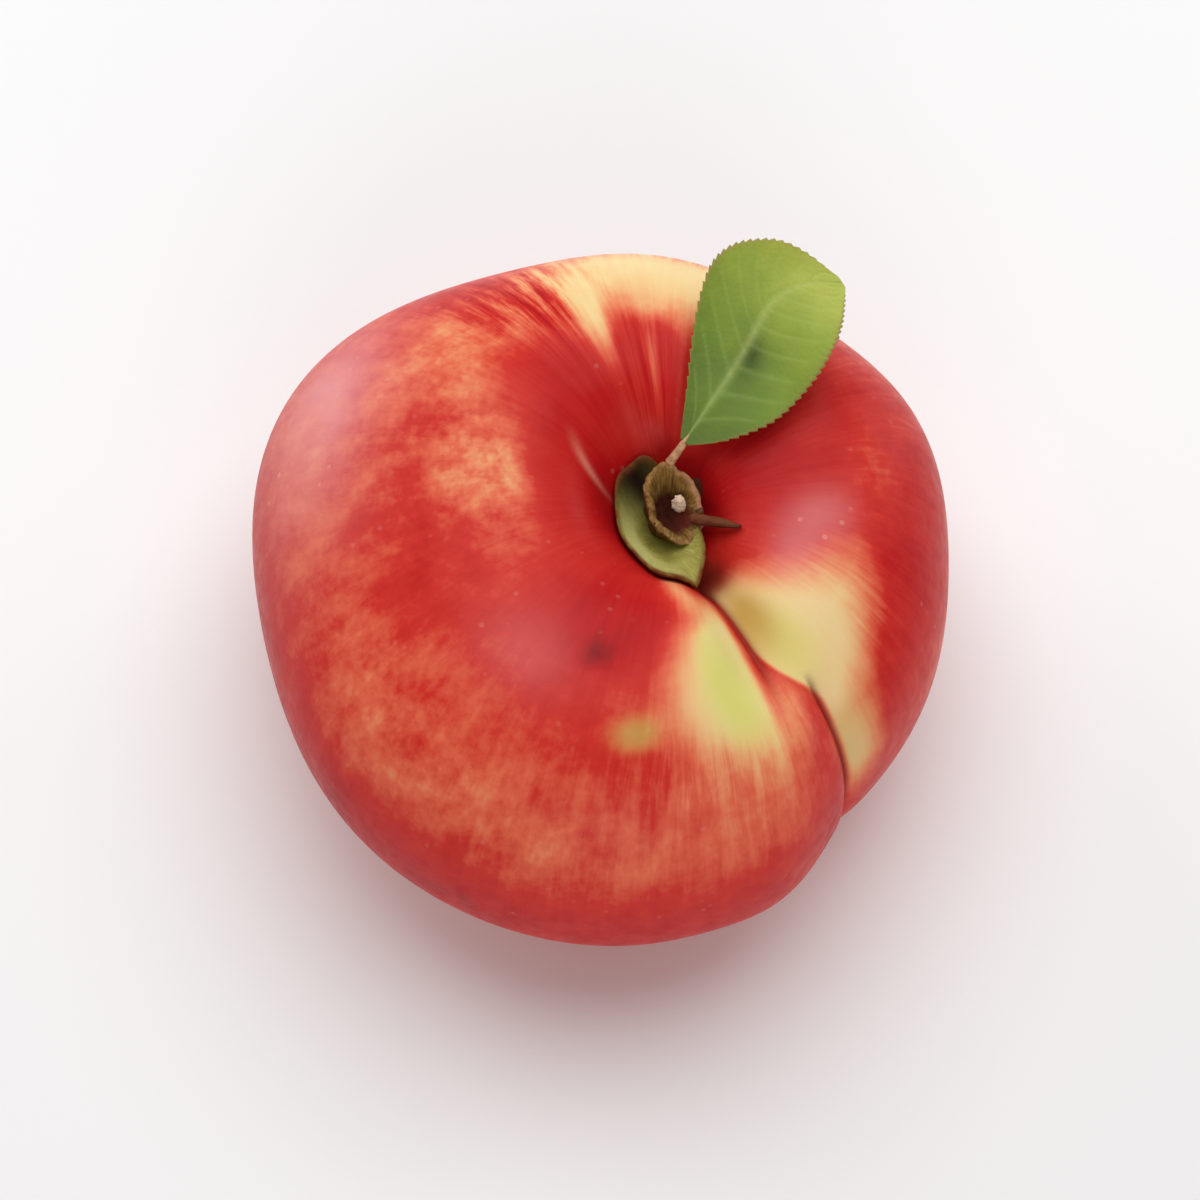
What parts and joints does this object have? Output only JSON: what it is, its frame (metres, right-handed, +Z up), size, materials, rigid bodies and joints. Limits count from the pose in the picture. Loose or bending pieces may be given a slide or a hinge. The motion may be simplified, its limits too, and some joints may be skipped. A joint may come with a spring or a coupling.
{
  "type": "flat nectarine",
  "caption": "Flat, doughnut-shaped nectarine resting on its blossom end, with a deep stem cavity, a suture groove, a torn woody stem stub and a small leaf.",
  "frame": {"origin": "middle of the fruit's outline in plan, on the surface that it rests on", "axes": "+Z up along the stem, -Y towards the side that the picture looks at, +X to that side's right"},
  "size_m": [0.067, 0.0704, 0.0421],
  "materials": {
    "skin": "smooth waxy skin with a soft sheen, red over yellow",
    "green_bark": "matt pale green bark with a thin brown rim",
    "stem_wood": "rough brown twig, torn at its end",
    "leaf": "satin young leaf"
  },
  "bodies": {
    "root": {"fruit": "skin", "stem_collar": "green_bark", "stem_stub": "stem_wood", "leaf": "leaf"}
  },
  "joints": []
}
